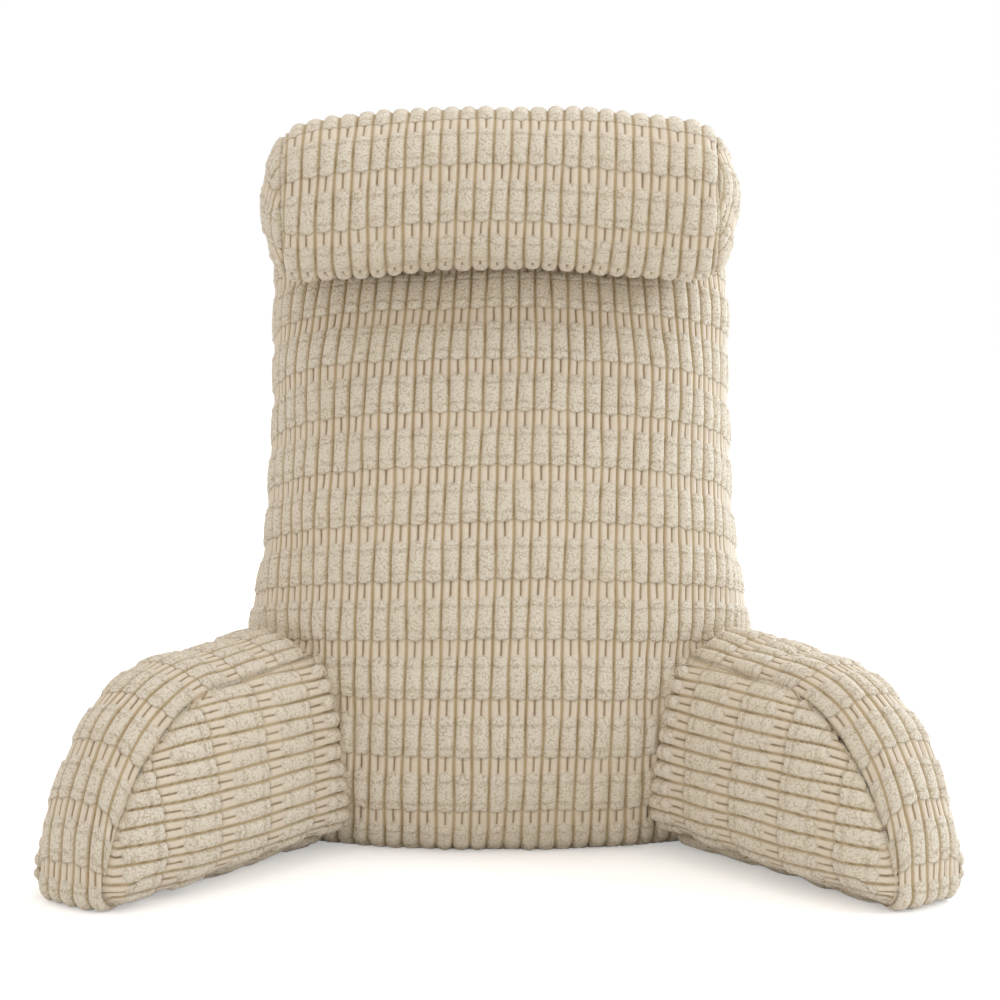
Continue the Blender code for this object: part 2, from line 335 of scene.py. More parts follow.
def soft_lumps(points, seed):
    """A gentle unevenness of the filling, about -1 to 1: seven waves in random directions."""
    k = 2.0 * math.pi / LUMP_SIZE
    total = np.zeros(points.shape[:-1])
    generator = np.random.default_rng(int(seed * 10) + 5)
    for _ in range(7):
        direction = generator.normal(size=3)
        direction /= np.linalg.norm(direction)
        scale = generator.uniform(0.55, 1.5)
        phase = generator.uniform(0.0, 2.0 * math.pi)
        total += np.sin(points @ direction * k * scale + phase)
    return total / 3.2


def unit(vectors):
    """Vectors made one long."""
    return vectors / np.maximum(np.linalg.norm(vectors, axis=-1, keepdims=True), 1e-12)


def running_length(points, axis=0):
    """The length along lines of points up to each of them."""
    length = np.cumsum(np.linalg.norm(np.diff(points, axis=axis), axis=-1), axis=axis)
    return np.concatenate([np.zeros_like(length.take([0], axis)), length], axis)


def grid_normals(points, wrap_rows=False, wrap_columns=False):
    """Unit normals of a grid of points by central differences."""
    def difference(values, axis, wrap):
        if wrap:
            return np.roll(values, -1, axis) - np.roll(values, 1, axis)
        padded = np.concatenate([values.take([0], axis), values, values.take([-1], axis)], axis)
        count = values.shape[axis]
        return padded.take(range(2, count + 2), axis) - padded.take(range(0, count), axis)
    return unit(np.cross(difference(points, 0, wrap_rows), difference(points, 1, wrap_columns)))


class Cover:
    """Collects grids, fans and flat faces, with weave coordinates on every face corner."""

    def __init__(self):
        self.points = []
        self.count = 0
        self.faces = []

    def add_points(self, points):
        """Adds points and returns their numbers in the same layout."""
        flat = np.asarray(points, float).reshape(-1, 3)
        self.points.append(flat)
        index = np.arange(self.count, self.count + len(flat))
        self.count += len(flat)
        return index.reshape(np.asarray(points).shape[:-1])

    def grid(self, index, weave, wrap_rows=False, wrap_columns=False):
        """Quads over a grid of point numbers; weave has the same rows and columns."""
        rows = np.arange(index.shape[0] if wrap_rows else index.shape[0] - 1)
        columns = np.arange(index.shape[1] if wrap_columns else index.shape[1] - 1)
        r, c = np.meshgrid(rows, columns, indexing="ij")
        r2 = (r + 1) % index.shape[0]
        c2 = (c + 1) % index.shape[1]
        corners = [(r, c), (r, c2), (r2, c2), (r2, c)]
        ids = np.stack([index[a, b] for a, b in corners], -1).reshape(-1, 4)
        coords = np.stack([weave[a, b] for a, b in corners], -2).reshape(-1, 4, 3)
        self.faces.append((ids, coords))

    def fan(self, ring, ring_weave, centre, centre_weave):
        """Triangles from a closed ring of point numbers to one point."""
        count = len(ring)
        after = np.roll(np.arange(count), -1)
        middle = np.full(count, centre)
        ids = np.stack([ring, ring[after], middle], -1)
        same = np.broadcast_to(centre_weave, (count, 3))
        coords = np.stack([ring_weave, ring_weave[after], same], -2)
        self.faces.append((ids, coords))

    def polygon(self, ids, weave):
        """One face round a ring of point numbers."""
        self.faces.append((np.asarray(ids)[None, :], np.asarray(weave)[None, :, :]))

    def sheet(self, points, weave, **wraps):
        """Adds points as one grid and returns their numbers."""
        index = self.add_points(points)
        self.grid(index, weave, **wraps)
        return index

    def close_ends(self, index, weave):
        """One face at each end of a tube whose rows run round it."""
        self.polygon(index[:, 0], weave[:, 0])
        self.polygon(index[::-1, -1], weave[::-1, -1])

    def build(self, name):
        """Makes the object, with outward normals and the weave attribute."""
        points = np.concatenate(self.points)
        mesh = bpy.data.meshes.new(name)
        mesh.vertices.add(len(points))
        mesh.vertices.foreach_set("co", points.ravel())
        corner_ids = np.concatenate([ids.ravel() for ids, _ in self.faces])
        corner_weave = np.concatenate([weave.reshape(-1, 3) for _, weave in self.faces])
        sizes = np.concatenate([np.full(len(ids), ids.shape[1]) for ids, _ in self.faces])
        mesh.loops.add(len(corner_ids))
        mesh.loops.foreach_set("vertex_index", corner_ids)
        mesh.polygons.add(len(sizes))
        mesh.polygons.foreach_set("loop_start", np.concatenate([[0], np.cumsum(sizes)[:-1]]))
        mesh.polygons.foreach_set("use_smooth", np.ones(len(sizes), bool))
        mesh.update(calc_edges=True)
        weave = mesh.attributes.new("weave", "FLOAT_VECTOR", "CORNER")
        weave.data.foreach_set("vector", corner_weave.ravel())
        form = bmesh.new()
        form.from_mesh(mesh)
        bmesh.ops.recalc_face_normals(form, faces=form.faces)
        form.to_mesh(mesh)
        form.free()
        mesh.update()
        item = bpy.data.objects.new(name, mesh)
        bpy.context.scene.collection.objects.link(item)
        return item


# ---- the frame's places

back_low, back_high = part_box("backrest")
SHIFT_Y = back_high.y - BACK_REARMOST  # from the tables' origin to the frame's
back_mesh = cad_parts["backrest"].data
back_tree = BVHTree.FromPolygons([v.co[:] for v in back_mesh.vertices],
                                 [p.vertices[:] for p in back_mesh.polygons])


def depth_in_back(point):
    """How deep a point lies inside the backrest; negative outside."""
    place, normal, _, distance = back_tree.find_nearest(Vector(point))
    inside = (Vector(point) - place).dot(normal) < 0.0
    return distance if inside else -distance


# ---- cloth over a grid

def seam_fade(distance):
    """How much of the pile stands up at this distance from a seam."""
    return SEAM_PILE + (1.0 - SEAM_PILE) * rounded(distance / SEAM_ROUND)


def seam_normals(normals, common, distance):
    """Normals that turn to one common direction at a seam, so both covers sink together."""
    share = smooth_step(0.0, SEAM_TURN, distance)[..., None]
    return unit(unit(common) * (1.0 - share) + normals * share)


def covered(points, normals, rib, row, fade, dip, seed, lump=LUMP, gather=0.0):
    """Points moved out to the crests and down into grooves, with their wandered ribs and rows."""
    rib, row = cloth_wander(rib, row, seed)
    height = pile_height(rib, row, seed)
    offset = CREST - PILE + PILE * height * fade - dip
    offset = offset - GATHER * gather * (1.0 - np.clip(height, 0.0, 1.0))
    offset = offset + lump * soft_lumps(points, seed) * np.clip(fade, 0.0, 1.0)
    return points + normals * offset[..., None], rib, row


def weave_stack(rib, row, seam_shade):
    """Weave coordinates from ribs, rows and closeness to a seam, which sets the painted shade there."""
    return np.stack([rib, row, np.broadcast_to(seam_shade, rib.shape)], -1)


# ---- arms

def arm_width(along):
    """Distance between an arm's two seams."""
    return ARM_TOE_WIDTH + (ARM_REAR_WIDTH - ARM_TOE_WIDTH) * along / ARM_LENGTH


def edge_lift(along):
    """How high the sole's edge lies over the floor."""
    return ARM_EDGE_LIFT[0] + ARM_EDGE_LIFT[1] * np.maximum(along, 0.0)


def arm_place(along, across, height, side):
    """A point of an arm; along runs from the toe to the back, across from the inner seam out."""
    x = ARM_TOE[0] - along * math.sin(ARM_SPLAY) + across * math.cos(ARM_SPLAY)
    y = ARM_TOE[1] + along * math.cos(ARM_SPLAY) + across * math.sin(ARM_SPLAY)
    x, y, height = np.broadcast_arrays(side * x, y + SHIFT_Y, height)
    return np.stack([x, y, height], -1)


def outline_part(part, t, crown, lift, end, sole_end):
    """A point (along, height) on one part of an arm's outline, at a share t of its course."""
    reach = ARM_TOE_CROWN * crown
    top = ARM_SEAM_HEIGHT + crown
    sole_front = ARM_FOOT_ROUND - reach
    base = lift * edge_lift(0.0) + ARM_FOOT_ROUND
    quarter = 0.5 * math.pi * t
    if part == SOLE:
        along = sole_end + (sole_front - sole_end) * t
        return along, lift * edge_lift(along)
    if part == FOOT:
        return (sole_front - ARM_FOOT_ROUND * np.sin(quarter),
                base - ARM_FOOT_ROUND * np.cos(quarter))
    if part == TOE:
        share = np.clip(crown / ARM_FULL_CROWN, 0.0, 1.0)
        roundness = ARM_SEAM_ROUNDNESS + (ARM_ROUNDNESS - ARM_SEAM_ROUNDNESS) * share
        back = signed_power(np.cos(quarter), 2.0 / roundness)
        climb = signed_power(np.sin(quarter), 2.0 / roundness)
        return (ARM_SHOULDER - (ARM_SHOULDER + reach) * back, base + (top - base) * climb)
    along = ARM_SHOULDER + (end - ARM_SHOULDER) * t
    share = np.clip((along - ARM_SHOULDER) / (ARM_LENGTH - ARM_SHOULDER), 0.0, 1.0)
    return along, top + ARM_SEAM_RISE * np.sin(0.5 * math.pi * share)


def even_steps(part, spacing):
    """Values of t that cut one part of a typical outline into even steps."""
    t = np.linspace(0.0, 1.0, 801)
    outline = outline_part(part, t, *TYPICAL_OUTLINE)
    length = running_length(np.stack(outline, -1))
    count = max(2, int(round(length[-1] / spacing)))
    return np.interp(np.linspace(0.0, length[-1], count + 1), length, t)


def meets_back(across, height, side):
    """How far along an arm's line meets the backrest."""
    low, high = MEETING_LEAST, ARM_LENGTH
    for _ in range(MEETING_HALVINGS):
        middle = 0.5 * (low + high)
        if depth_in_back(arm_place(middle, across, height, side)) > 0.0:
            high = middle
        else:
            low = middle
    return high


def arm_outward(side):
    """The direction from an arm's inner panel to its outer one."""
    return arm_place(0.0, 1.0, 0.0, side) - arm_place(0.0, 0.0, 0.0, side)


def arm_cloth(grid, normals, rib, row, fade, seam_gap, junction, lowest, seed):
    """Points and weave of an arm's cover; it draws in and gathers where it meets the backrest."""
    fade = fade * seam_fade(junction + 0.002)
    drawn_in = rounded((junction + JUNCTION_DEPTH) / (JUNCTION_ROUND + JUNCTION_DEPTH))
    dip = dent(seam_gap, *SEAM_DIP) + JUNCTION_DIP * (1.0 - drawn_in)
    outside = np.maximum(junction, 0.0)
    gather = dent(outside, 1.0, JUNCTION_GATHER)
    points, rib, row = covered(grid, normals, rib, row, fade, dip, seed, gather=gather)
    points[..., 2] = np.maximum(points[..., 2], lowest)
    # painted shade along the seams and where the arm meets the backrest
    seam_shade = dent(np.minimum(seam_gap, outside), 1.0, SEAM_SHADE_REACH)
    return points, weave_stack(rib, row, seam_shade)


def band_value(share, column):
    """A value of the band's sections at a share of its width."""
    return profile(BAND_SECTIONS, 0.5 - np.abs(np.clip(share, 0.0, 1.0) - 0.5), column)


def build_band(name, side, seed):
    """The filled core of an arm with the strip over its top and down its toe, and its junction."""
    parts = []
    for part, spacing in ((SOLE, SOLE_STEP), (FOOT, ROW_STEP), (TOE, ROW_STEP), (TOP, ROW_STEP)):
        steps = even_steps(part, spacing)
        parts += [(part, t) for t in (steps if part == TOP else steps[:-1])]

    # columns follow the ribs in the middle of the band and are even shares beyond them
    core = np.arange(-BAND_CORE, BAND_CORE + 1) * RIB_STEP
    edge = np.linspace(0.0, 1.0, BAND_EDGE + 1)[1:]
    across = []
    for part, t in parts:
        along, _ = outline_part(part, t, MEAN_CROWN, 0.0, 0.30, 0.30)
        beyond = core[-1] + (0.5 * arm_width(along) - core[-1]) * edge
        across.append(np.concatenate([-beyond[::-1], core, beyond]))
    across = np.array(across)
    columns = across.shape[1]
    middle = columns // 2

    # where each column meets the backrest, on top and at the sole
    rear_width = arm_width(JUNCTION_ALONG)
    rear_share = np.clip(0.5 + across[-1] / rear_width, 0.0, 1.0)
    rear_height = ARM_SEAM_HEIGHT + band_value(rear_share, CROWN)
    rear_across = rear_share * rear_width
    ends = np.array([meets_back(a, h, side) for a, h in zip(rear_across, rear_height)])
    sole_ends = np.array([meets_back(a, SOLE_MEETING, side) for a in rear_across])
    reach = (ends + JUNCTION_DEPTH, sole_ends + JUNCTION_DEPTH)

    grid = np.zeros((len(parts), columns, 3))
    shares = np.zeros((len(parts), columns))
    to_end = np.ones((len(parts), columns))
    for r, (part, t) in enumerate(parts):
        along, _ = outline_part(part, t, MEAN_CROWN, 0.0, *reach)
        width = arm_width(along)
        size = np.abs(across[r])
        stretch = (0.5 * width - core[-1]) / (size.max() - core[-1])
        fitted = np.sign(across[r]) * (core[-1] + (size - core[-1]) * stretch)
        fitted = np.where(size > core[-1], fitted, across[r])
        shares[r] = np.clip(0.5 + fitted / width, 0.0, 1.0)
        outline = outline_part(part, t, band_value(shares[r], CROWN),
                               band_value(shares[r], LIFT), *reach)
        along, height = np.broadcast_arrays(*outline)
        grid[r] = arm_place(along, shares[r] * width, height, side)
        if part == SOLE:
            to_end[r] = sole_ends - along
        elif part == TOP:
            to_end[r] = ends - along

    # ribs count from the middle and rows from the foot, both along the cloth
    spine = grid[:, middle]
    run = running_length(spine)
    run = run - run[[part for part, _ in parts].index(FOOT)]
    row = np.repeat((-run / ROW)[:, None], columns, 1) + BAND_ROW_PHASE
    spread = running_length(grid, axis=1)
    rib = (spread - spread[:, middle:middle + 1]) / RIB + BAND_RIB_PHASE
    width_here = np.linalg.norm(grid[:, -1] - grid[:, 0], axis=-1)[:, None]
    seam_gap = np.minimum(shares, 1.0 - shares) * width_here * BAND_FULLNESS
    junction = np.clip(to_end, -JUNCTION_DEPTH, 1.0)

    normals = grid_normals(grid)
    if np.sum(normals[:, middle] * (spine - grid.mean(axis=(0, 1)))) < 0.0:
        normals = -normals
    normals[0] = normals[1]
    outward = arm_outward(side)
    level = unit(normals[:, middle] - (normals[:, middle] @ outward)[:, None] * outward)
    sign = np.sign(shares - 0.5)[..., None]
    normals = seam_normals(normals, level[:, None, :] + sign * outward, seam_gap)
    points, weave = arm_cloth(grid, normals, rib, row, seam_fade(seam_gap), seam_gap, junction,
                              BAND_LOWEST, seed)
    cover = Cover()
    cover.close_ends(cover.sheet(points, weave, wrap_rows=True), weave)
    touch_height = ARM_SEAM_HEIGHT + ARM_SEAM_RISE + band_value(rear_share, CROWN)
    return cover.build(name), list(arm_place(ends, rear_share * arm_width(ends), touch_height, side))


def panel_outline(end_top, end_sole):
    """The seam of a side panel as (along, height) points: sole, foot, toe and top."""
    pieces = []
    for part in (SOLE, FOOT, TOE, TOP):
        t = np.linspace(0.0, 1.0, 160)
        outline = outline_part(part, t, 0.0, 1.0, end_top, end_sole)
        pieces.append(np.stack(outline, -1)[:None if part == TOP else -1])
    return pieces


def resample(line, count):
    """Evenly spaced points along a line in a plane."""
    length = running_length(line)
    where = np.linspace(0.0, length[-1], count)
    return np.stack([np.interp(where, length, line[:, k]) for k in (0, 1)], -1)


def nearest_on(points, line):
    """Distance and direction from points to a polyline, all in one plane."""
    start = line[:-1]
    step = line[1:] - start
    best = np.full(len(points), 1e9)
    towards = np.zeros((len(points), 2))
    for a, d in zip(start, step):
        size = max(float(d @ d), 1e-14)
        t = np.clip(((points - a) @ d) / size, 0.0, 1.0)
        foot = a + t[:, None] * d
        gap = foot - points
        distance = np.hypot(gap[:, 0], gap[:, 1])
        closer = distance < best
        best = np.where(closer, distance, best)
        towards[closer] = gap[closer]
    return best, towards / np.maximum(best, 1e-9)[:, None]


def side_bulge(distance):
    """How far a side panel stands out at this distance from its seam."""
    return profile(SIDE_SECTIONS, distance)


def build_side_panel(name, side, outer, seed):
    """A crowned D-shaped panel sewn to the band all round, running into the backrest."""
    def face(along, bulge):
        return arm_width(along) + bulge if outer else -bulge

    # where the panel meets the backrest, from the sole to the top seam
    seam_top = ARM_SEAM_HEIGHT + ARM_SEAM_RISE
    heights = np.linspace(PANEL_FIRST_HEIGHT, seam_top, 15)
    rear_bulge = side_bulge(np.maximum(np.minimum(heights, seam_top - heights), 0.0))
    ends = np.array([meets_back(face(JUNCTION_ALONG, bulge), height, side)
                     for height, bulge in zip(heights, rear_bulge)])
    touch = list(arm_place(ends, face(ends, rear_bulge), heights, side))

    # a grid between the four sides of the outline: sole, toe, top edge and rear
    sole, foot, toe, top = panel_outline(ends[-1] + JUNCTION_DEPTH, ends[0] + JUNCTION_DEPTH)
    rear_height = np.linspace(sole[0, 1], top[-1, 1], 60)
    rear_line = np.stack([hermite(rear_height, heights, ends) + JUNCTION_DEPTH, rear_height], -1)
    across_count, up_count = PANEL_GRID
    bottom = resample(sole, across_count)
    over = resample(np.concatenate([toe[TOE_CORNER:], top])[::-1], across_count)
    left = resample(rear_line, up_count)
    right = resample(np.concatenate([foot, toe[:TOE_CORNER + 1]]), up_count)
    over[0], bottom[0] = left[-1], left[0]
    over[-1], bottom[-1] = right[-1], right[0]
    u = np.linspace(0.0, 1.0, across_count)[None, :, None]
    v = np.linspace(0.0, 1.0, up_count)[:, None, None]
    flat = ((1 - v) * bottom[None] + v * over[None] + (1 - u) * left[:, None] + u * right[:, None]
            - (1 - u) * (1 - v) * bottom[0] - u * (1 - v) * bottom[-1]
            - (1 - u) * v * over[0] - u * v * over[-1])
    along, height = flat[..., 0], flat[..., 1]

    # distance and direction to the nearest seam, counted more along the sole behind the toe
    places = flat.reshape(-1, 2)
    sole_gap, sole_towards = nearest_on(places, sole)
    upper_gap, upper_towards = nearest_on(places, np.concatenate([foot, toe, top]))
    sole_gap = sole_gap * (1.0 + SOLE_STEEPER * smooth_step(*SOLE_STEEPER_FROM, places[:, 0]))
    towards = np.where((sole_gap < upper_gap)[:, None], sole_towards, upper_towards)
    towards = towards.reshape(up_count, across_count, 2)
    seam_gap = np.minimum(sole_gap, upper_gap).reshape(up_count, across_count)
    seam_gap[0] = 0.0
    seam_gap[-1] = 0.0
    seam_gap[:, -1] = 0.0
    grid = arm_place(along, face(along, side_bulge(seam_gap)), height, side)

    # cloth length gained where the panel turns out from its seam
    gap = np.linspace(0.0, 0.08, 161)
    gained = running_length(np.stack([gap, side_bulge(gap)], -1)) - gap
    extra = np.interp(seam_gap, gap, gained[-1] - gained)
    rib = (height + towards[..., 1] * extra) / RIB + PANEL_RIB_PHASE
    row = (along + towards[..., 0] * extra) / (ROW * PANEL_STRETCH)
    row = row + (OUTER_ROW_PHASE if outer else PANEL_ROW_PHASE)
    end_here = hermite(np.clip(height, heights[0], heights[-1]), heights, ends)
    junction = np.clip(end_here - along, -JUNCTION_DEPTH, 1.0)

    normals = grid_normals(grid)
    outward = arm_outward(side) if outer else -arm_outward(side)
    if np.sum(normals @ outward) < 0.0:
        normals = -normals
    lengthwise = arm_place(1.0, 0.0, 0.0, side) - arm_place(0.0, 0.0, 0.0, side)
    upward = np.array([0.0, 0.0, 1.0])
    common = outward + towards[..., :1] * lengthwise + towards[..., 1:] * upward
    normals = seam_normals(normals, common, seam_gap)
    points, weave = arm_cloth(grid, normals, rib, row, seam_fade(seam_gap * 1.3), seam_gap,
                              junction, PANEL_LOWEST, seed)
    cover = Cover()
    index = cover.sheet(points, weave)
    rim, rim_weave = (np.concatenate([values[0, :-1], values[:-1, -1], values[-1, :0:-1],
                                      values[:0:-1, 0]])[::-1] for values in (index, weave))
    cover.polygon(rim, rim_weave)
    return cover.build(name), touch


def filled_in(places, step=0.004):
    """A denser line of points through junction points that lie near each other."""
    dense = []
    for first, second in zip(places, places[1:]):
        gap = float(np.linalg.norm(second - first))
        if gap > JUNCTION_BREAK:
            continue
        dense += [first + (second - first) * k * step / max(gap, step)
                  for k in range(max(1, int(gap / step)))]
    return dense


# ---- backrest

def back_sections(up):
    """The section values at heights along the front of the back, and its full height."""
    table = np.array(BACK_SECTIONS)
    key = running_length(table[:, :2])
    return [hermite(up, key, table[:, k]) for k in range(5)], key[-1]


def back_levels():
    """Heights along the front for the mesh rows, one of them at every block's end."""
    _, total = back_sections(np.array([0.0]))
    first = (BACK_SLIT_UP / ROW_STEP) % 1.0 * ROW_STEP
    inner = np.arange(first, total, ROW_STEP)
    inner = inner[(inner > 0.4 * ROW_STEP) & (inner < total - 0.4 * ROW_STEP)]
    return np.concatenate([[0.0], inner, [total]])


def distance_to_junctions(grid, junctions):
    """Distance of the grid's points to the lines where the arms are sewn on, at most 1."""
    tree = KDTree(len(junctions))
    for number, place in enumerate(junctions):
        tree.insert(Vector(place), number)
    tree.balance()
    least_x, most_y, most_z = JUNCTION_ZONE
    zone = (np.abs(grid[..., 0]) > least_x) & (grid[..., 2] < most_z) & (grid[..., 1] < most_y)
    near = np.full(zone.shape, 1.0)
    for r, c in zip(*np.nonzero(zone)):
        near[r, c] = tree.find(Vector(grid[r, c]))[2]
    return near


def build_backrest(name, junctions, seed):
    """The back's cover: one piece round the front and both sides, and one behind."""
    up = back_levels()
    (front_y, front_z, rear_y, rear_z, half_width), total = back_sections(up)
    angle = np.linspace(0.0, math.pi, 1501)
    side = signed_power(np.sin(angle), 2.0 / BACK_ROUNDNESS)
    side[-1] = 0.0
    depth = 0.5 - 0.5 * signed_power(np.cos(angle), 2.0 / BACK_ROUNDNESS)
    x = half_width[:, None] * side
    y = front_y[:, None] + (rear_y - front_y)[:, None] * depth
    z = front_z[:, None] + (rear_z - front_z)[:, None] * depth
    arc = running_length(np.stack([x, y, z], -1), axis=1)
    half = arc[:, -1:]                  # from the front's middle round to the rear's middle
    seam_at = np.array([[np.interp(REAR_SEAM_DEPTH, depth, line)] for line in arc])

    # s is the length round the back from the front's middle; the columns follow the ribs on
    # the front, and are even shares round the sides and behind
    lean = (BACK_TILT * (up - BACK_LEAN_FROM))[:, None]
    squeeze = np.minimum(1.0, half / BACK_FULL_HALF)
    fine = np.arange(-BACK_FINE, BACK_FINE + 1) * RIB_STEP
    medium = np.arange(1, BACK_MEDIUM + 1) * BACK_MEDIUM_STEP + fine[-1]
    core = np.concatenate([-medium[::-1], fine, medium])
    edge_share = np.linspace(0.0, 1.0, BACK_EDGE + 1)[1:]
    rear_share = np.linspace(0.0, 1.0, BACK_REAR + 1)[1:-1]
    mid = (core + lean) * squeeze
    right = mid[:, -1:] + (seam_at - mid[:, -1:]) * edge_share
    left = mid[:, :1] + (-seam_at - mid[:, :1]) * edge_share
    behind = seam_at + (2.0 * half - 2.0 * seam_at) * rear_share
    s = np.concatenate([mid, right, behind, left[:, ::-1]], axis=1)
    columns = s.shape[1]
    seam_right = len(core) + len(edge_share) - 1
    seam_left = seam_right + len(rear_share) + 1
    around = np.where(s > half, s - 2.0 * half, s)
    grid = np.zeros(s.shape + (3,))
    for r, line in enumerate(around):
        grid[r, :, 0] = np.sign(line) * np.interp(np.abs(line), arc[r], x[r])
        grid[r, :, 1] = np.interp(np.abs(line), arc[r], y[r]) + SHIFT_Y
        grid[r, :, 2] = np.interp(np.abs(line), arc[r], z[r])

    # the two pieces of cloth count their own ribs and rows
    front_rib = (s / squeeze - lean) / RIB
    front_row = np.repeat(((BACK_SLIT_UP - up) / ROW + BLOCK)[:, None], columns, 1)
    number = np.arange(columns)
    rear_s = np.where(number >= seam_left, s + 2.0 * half, s)
    rear_rib = (rear_s - half) / RIB + REAR_RIB_PHASE
    rear_up = running_length(np.stack([rear_y, rear_z], -1))
    rear_row = np.repeat((-rear_up / ROW + REAR_ROW_PHASE)[:, None], columns, 1)
    is_rear = (number > seam_right) & (number < seam_left)
    rib = np.where(is_rear, rear_rib, front_rib)
    row = np.where(is_rear, rear_row, front_row)

    seam_gap = np.abs(np.abs(around) - seam_at)
    near = distance_to_junctions(grid, junctions)
    top_gap = np.repeat((total - up)[:, None], columns, 1)
    fade = seam_fade(seam_gap * 1.2) * seam_fade(near) * seam_fade(top_gap + 0.001)
    dip = (dent(seam_gap, *REAR_SEAM_DIP) + dent(near, *BACK_JUNCTION_DIP)
           + dent(top_gap, *BACK_TOP_DIP))
    normals = grid_normals(grid, wrap_columns=True)
    if np.sum(normals * (grid - grid.mean(axis=(0, 1)))) < 0.0:
        normals = -normals
    normals[0, :, 2] = 0.0
    normals[0] = unit(normals[0])
    gather = dent(near, 1.0, BACK_GATHER)
    points, _, _ = covered(grid, normals, rib, row, fade, dip, seed, gather=gather)
    points[..., 2] = np.maximum(points[..., 2], 0.0)
    points[0, :, 2] = 0.0
    # painted shade along the side seams, where the arms meet, at the top edge and near the sole
    seam_shade = dent(np.minimum(np.minimum(seam_gap, near), top_gap), 1.0, BACK_SEAM_SHADE_REACH)
    seam_shade = np.maximum(seam_shade, dent(up, *SOLE_PAINTED_SHADE)[:, None])
    weave_front = weave_stack(*cloth_wander(front_rib, front_row, seed), seam_shade)
    weave_rear = weave_stack(*cloth_wander(rear_rib, rear_row, seed), seam_shade)

    cover = Cover()
    index = cover.add_points(points)
    cover.grid(index[:, :seam_right + 1], weave_front[:, :seam_right + 1])
    cover.grid(index[:, seam_right:seam_left + 1], weave_rear[:, seam_right:seam_left + 1])
    last = np.concatenate([np.arange(seam_left, columns), [0]])
    cover.grid(index[:, last], weave_front[:, last])

    # flat underside, with painted shade all over
    sole = np.array([0.0, points[0, :, 1].mean(), 0.0])
    sole_id = cover.add_points(sole[None])[0]
    plain = np.array([0.0, 0.0, SOLE_SHADE])
    per_metre = np.array([1.0 / RIB, 1.0 / ROW, 0.0])
    cover.fan(index[0], points[0] * per_metre + plain, sole_id, sole * per_metre + plain)

    # crowned top
    ring, edge = index[-1], points[-1]
    middle = edge.mean(axis=0)
    ring_weave = edge * per_metre
    for shrink, rise in BACK_TOP_RINGS:
        inner = middle + (edge - middle) * np.array([0.25 + 0.75 * shrink, shrink, shrink])
        inner[:, 2] += rise
        inner_id = cover.add_points(inner)
        inner_weave = inner * per_metre
        cover.grid(np.stack([ring, inner_id]), np.stack([ring_weave, inner_weave]),
                   wrap_columns=True)
        ring, ring_weave = inner_id, inner_weave
    cover.polygon(ring, ring_weave)
    return cover.build(name)


# ---- neck roll

def roll_place(offset, radius, angle):
    """A point of the roll; angle 0 is up and it grows towards the front."""
    sag = ROLL_SAG * (offset / ROLL_SEAM) ** 2
    y = ROLL_CENTRE[0] + SHIFT_Y - radius * np.sin(angle)
    z = ROLL_CENTRE[1] - sag + radius * np.cos(angle)
    x, y, z = np.broadcast_arrays(offset, y, z)
    return np.stack([x, y, z], -1)


def keep_off_back(points):
    """Points inside the backrest are moved out to its surface."""
    flat = points.reshape(-1, 3)
    for k in np.nonzero(flat[:, 1] > back_low.y + ROLL_CLEAR_OF_FRONT)[0]:
        place, normal, _, _ = back_tree.find_nearest(Vector(flat[k]))
        if (Vector(flat[k]) - place).dot(normal) < ROLL_GAP:
            flat[k] = place + normal * ROLL_GAP
    return flat.reshape(points.shape)


def build_roll(name, seed):
    """The tube of the neck roll, whose ribs run round it."""
    count = int(ROLL_SEAM / RIB_STEP)
    offsets = np.arange(-count, count + 1) * RIB_STEP
    offsets = np.concatenate([[-ROLL_SEAM], offsets[1:-1], [ROLL_SEAM]])[None, :]
    radius = profile(ROLL_SECTIONS, np.abs(offsets))
    turn = np.linspace(0.0, 2.0 * math.pi, ROLL_ROWS + 1)[:-1, None]
    around = turn + ROLL_START
    grid = roll_place(offsets, radius, around)
    arc = turn * ROLL_GIRTH_RADIUS
    girth = 2.0 * math.pi * ROLL_GIRTH_RADIUS
    lean = ROLL_LEAN * ROLL_GIRTH_RADIUS * np.cos(around)
    rib = offsets / RIB + lean / RIB + ROLL_RIB_PHASE
    row = np.repeat(arc / ROW, offsets.size, 1) + ROLL_ROW_PHASE
    edge = np.broadcast_to(ROLL_SEAM - np.abs(offsets), rib.shape)
    closing = np.broadcast_to(np.minimum(arc, girth - arc), rib.shape)
    fade = seam_fade(edge * 1.1) * seam_fade(closing)
    dip = dent(edge, *SEAM_DIP) + dent(closing, *CLOSING_DIP)
    normals = grid_normals(grid, wrap_rows=True)
    if np.sum(normals * (grid - roll_place(offsets, 0.0, around))) < 0.0:
        normals = -normals
    points, rib, row = covered(grid, normals, rib, row, fade, dip, seed, lump=ROLL_LUMP)
    # painted shade along the end seams and where the tube is sewn shut
    seam_shade = dent(np.minimum(edge, closing), 1.0, SEAM_SHADE_REACH)
    weave = weave_stack(rib, row, seam_shade)
    cover = Cover()
    index = cover.add_points(keep_off_back(points))
    last = weave_stack(rib[:1], row[:1] + girth / ROW, seam_shade[:1])
    cover.grid(np.concatenate([index, index[:1]]), np.concatenate([weave, last]))
    cover.close_ends(index, weave)
    return cover.build(name)


